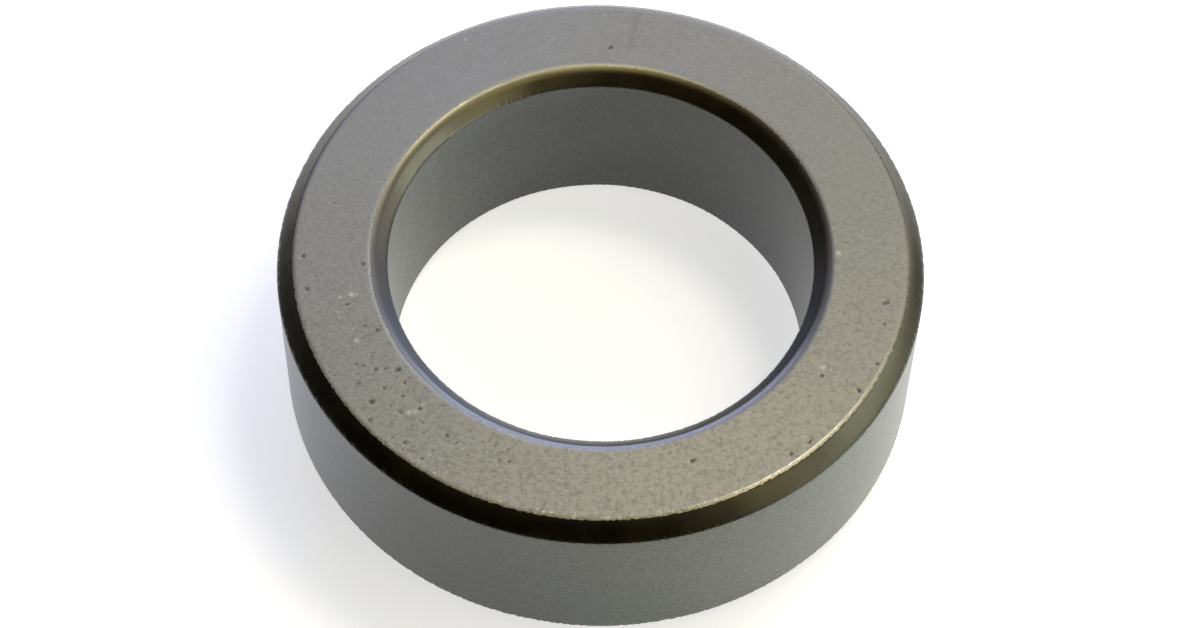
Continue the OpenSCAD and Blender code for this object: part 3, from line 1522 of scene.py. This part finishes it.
@dataclass(frozen=True)
class ViewPoint:
    """The camera: where it stands, what it aims at, how far it is rolled, and its lens."""

    eye: tuple[float, float, float] = (0.0, -0.10502, 0.16806)
    target: tuple[float, float, float] = (0.000025, -0.00446, 0.012)
    roll_deg: float = 1.3545
    lens_mm: float = 96.458
    sensor_mm: float = 36.0
    nearest: float = 1.0 * MM

    def place(self) -> bpy.types.Object:
        """Makes the camera and gives it to the scene.

        Returns:
            The camera's object.
        """
        camera = bpy.data.cameras.new("view")
        camera.lens = self.lens_mm
        camera.sensor_width = self.sensor_mm
        camera.clip_start = self.nearest
        holder = bpy.data.objects.new("view", camera)
        eye = Vector(self.eye)
        holder.location = eye
        holder.rotation_mode = "QUATERNION"
        roll = Matrix.Rotation(math.radians(self.roll_deg), 3, "Z").to_quaternion()
        holder.rotation_quaternion = (Vector(self.target) - eye).to_track_quat("-Z", "Y") @ roll
        bpy.context.scene.collection.objects.link(holder)
        bpy.context.scene.camera = holder
        return holder


@dataclass(frozen=True)
class Fence:
    """A low screen round part of the core, which hides the far floor from the chamfers."""

    name: str
    span_deg: Span
    colour: Colour
    radius: float = 0.08
    height: float = 0.02
    columns: int = 49

    def points(self) -> np.ndarray:
        """The screen's surface, an arc by its height.

        Returns:
            Points as columns by rows by three.
        """
        turn = np.radians(np.linspace(*self.span_deg, self.columns))
        around, up = np.meshgrid(turn, [0.0, self.height], indexing="ij")
        return np.stack([self.radius * np.cos(around), self.radius * np.sin(around), up], axis=-1)


@dataclass
class Studio:
    """A white floor, soft lamps under a dark tent, low fences, and the camera."""

    floor_half: float = 6.0
    floor_colour: Colour = (0.79, 0.80, 0.85)
    floor_lift: Span = (0.67, 1.0)
    floor_lift_at: Span = (0.06, 0.50)
    tent_radius: float = 0.8
    tent_colour: Colour = (0.03, 0.025, 0.018)
    tent_grid: tuple[int, int] = (49, 12)
    tent_top_deg: float = 88.0
    fences: tuple[Fence, ...] = (
        Fence("left_fence", (128.0, 300.0), (0.09, 0.09, 0.09)),
        Fence("right_fence", (300.0, 409.0), (0.41, 0.39, 0.335)),
    )
    lamps: tuple[SoftBox, ...] = (
        SoftBox("ceiling", 48, 69, 0.36, (0.07, 0.07), (1.0, 0.86, 0.70), 0.28),
        SoftBox("ceiling_low", 32, 61, 0.36, (0.10, 0.10), (1.0, 0.83, 0.40), 0.14),
        SoftBox("ceiling_right", 25, 66, 0.36, (0.18, 0.18), (0.2, 0.95, 1.0), 0.075),
        SoftBox("panel_back", 85, 42, 0.62, (0.90, 0.50), (1.0, 0.95, 0.95), 0.51),
        SoftBox("panel_right", 15, 35, 0.62, (0.60, 0.50), (1.0, 0.89, 0.89), 0.34),
        SoftBox("window", 95, 31, 0.42, (0.24, 0.10), (0.37, 0.46, 1.0), 0.42),
        SoftBox("window_low", 92, 16, 0.42, (0.40, 0.12), (0.64, 0.72, 1.0), 0.60),
        SoftBox("corner", 22, 7, 0.42, (0.24, 0.09), (1.0, 0.95, 0.70), 0.105),
        SoftBox("side", -2, 20, 0.40, (0.20, 0.18), (0.91, 1.0, 0.88), 0.24),
        SoftBox("side_front", -36, 30, 0.36, (0.14, 0.14), (1.0, 0.93, 0.50), 0.08),
        SoftBox("low_right", -28, 5, 0.35, (0.20, 0.05), (1.0, 0.98, 0.90), 0.31),
        SoftBox("key", -25, 60, 0.13, (0.05, 0.05), (1.0, 0.75, 0.25), 0.016),
    )

    def build(self, aim: Vector) -> None:
        """Sets up everything round the core.

        Args:
            aim: the core's middle.
        """
        scene = bpy.context.scene
        scene.view_settings.view_transform = "Standard"
        self._world(scene)
        fences = [self._cloth(fence.name, fence.colour, fence.points()) for fence in self.fences]
        self._floor()
        self._tent()
        for lamp in self.lamps:
            lamp.place(aim)
        ViewPoint().place()

    @staticmethod
    def _seen(graph: Graph) -> Socket:
        """Tells the rays that see a surface from those that only gather its light.

        Args:
            graph: the graph to add the nodes to.

        Returns:
            1 for rays from the camera, from gloss and through glass, else 0.
        """
        path = graph.node("ShaderNodeLightPath")
        seen = graph.math("MAXIMUM", path.outputs["Is Camera Ray"], path.outputs["Is Glossy Ray"])
        return graph.math("MAXIMUM", seen, path.outputs["Is Transmission Ray"])

    def _world(self, scene: bpy.types.Scene) -> None:
        """Sets the surroundings: white where they are seen, and no light of their own.

        Args:
            scene: the scene to light.
        """
        scene.world = bpy.data.worlds.new("studio")
        scene.world.use_nodes = True
        graph = Graph(scene.world.node_tree)
        sky = graph.node("ShaderNodeBackground")
        graph.link(self._seen(graph), sky.inputs["Strength"])
        output = graph.node("ShaderNodeOutputWorld")
        graph.link(sky.outputs["Background"], output.inputs["Surface"])
        sky.inputs["Color"].default_value = (1.0, 1.0, 1.0, 1.0)

    def _floor(self) -> bpy.types.Object:
        """Lays the floor, lifted to white for the rays that see it, and more so away from the lamps.

        Returns:
            The floor's object.
        """
        half = self.floor_half
        mesh = bpy.data.meshes.new("floor")
        corners = [(-half, -half, 0), (half, -half, 0), (half, half, 0), (-half, half, 0)]
        mesh.from_pydata(corners, [], [(0, 1, 2, 3)])
        material = bpy.data.materials.new("pale_floor")
        material.use_nodes = True
        graph = Graph(material.node_tree)
        matte = graph.node("ShaderNodeBsdfDiffuse")
        matte.inputs["Color"].default_value = (*self.floor_colour, 1.0)
        glow = graph.node("ShaderNodeEmission")
        away = graph.node("ShaderNodeVectorMath", operation="LENGTH")
        graph.link(graph.object_point(), away.inputs[0])
        lift = graph.spread(away.outputs["Value"], self.floor_lift_at, self.floor_lift)
        graph.link(graph.times(self._seen(graph), lift), glow.inputs["Strength"])
        both = graph.node("ShaderNodeAddShader")
        graph.link(matte.outputs[0], both.inputs[0])
        graph.link(glow.outputs[0], both.inputs[1])
        output = graph.node("ShaderNodeOutputMaterial")
        graph.link(both.outputs[0], output.inputs["Surface"])
        mesh.materials.append(material)
        floor = bpy.data.objects.new("floor", mesh)
        bpy.context.scene.collection.objects.link(floor)
        return floor

    @staticmethod
    def _cloth(name: str, colour: Colour, points: np.ndarray) -> bpy.types.Object:
        """Hangs a matte cloth that only the gloss shows.

        Args:
            name: the cloth's name.
            colour: its colour.
            points: its surface as columns by rows by three.

        Returns:
            The cloth's object.
        """
        columns, rows = points.shape[:2]
        quads = grid_quads(columns, rows)[:-1, :-1].reshape(-1, 4)
        mesh = bpy.data.meshes.new(name)
        mesh.from_pydata(points.reshape(-1, 3).tolist(), [], quads.tolist())
        material = bpy.data.materials.new(name)
        material.use_nodes = True
        graph = Graph(material.node_tree)
        matte = graph.node("ShaderNodeBsdfDiffuse")
        matte.inputs["Color"].default_value = (*colour, 1.0)
        output = graph.node("ShaderNodeOutputMaterial")
        graph.link(matte.outputs[0], output.inputs["Surface"])
        mesh.materials.append(material)
        cloth = bpy.data.objects.new(name, mesh)
        cloth.visible_camera = False
        cloth.visible_shadow = False
        bpy.context.scene.collection.objects.link(cloth)
        return cloth

    def _tent(self) -> bpy.types.Object:
        """A dark half-sphere over the set: a surface of two angles, round the axis and up.

        Returns:
            The tent's object.
        """
        columns, rows = self.tent_grid
        turn = np.linspace(0.0, FULL_TURN, columns)
        rise = np.radians(np.linspace(0.0, self.tent_top_deg, rows))
        around, up = np.meshgrid(turn, rise, indexing="ij")
        points = np.stack([np.cos(around) * np.cos(up), np.sin(around) * np.cos(up), np.sin(up)], axis=-1)
        return self._cloth("dark_tent", self.tent_colour, self.tent_radius * points)


def main() -> None:
    """Builds the core, dresses it, and sets up the studio."""
    logging.basicConfig(level=logging.INFO, format="%(name)s: %(message)s")
    section = RingSection.from_record(frame["record"])
    toroid = ToroidCore(section, Wear(section))
    core = toroid.build()
    toroid.dress(core)
    LOG.info("%s: %d quads on body %s", core.name, len(core.data.polygons), CORE_BODY)
    Studio().build(Vector((0.0, 0.0, section.ring_h / 2)))
    LOG.info("studio: floor, tent, fences, lamps and camera")


if __name__ == "__main__":
    main()
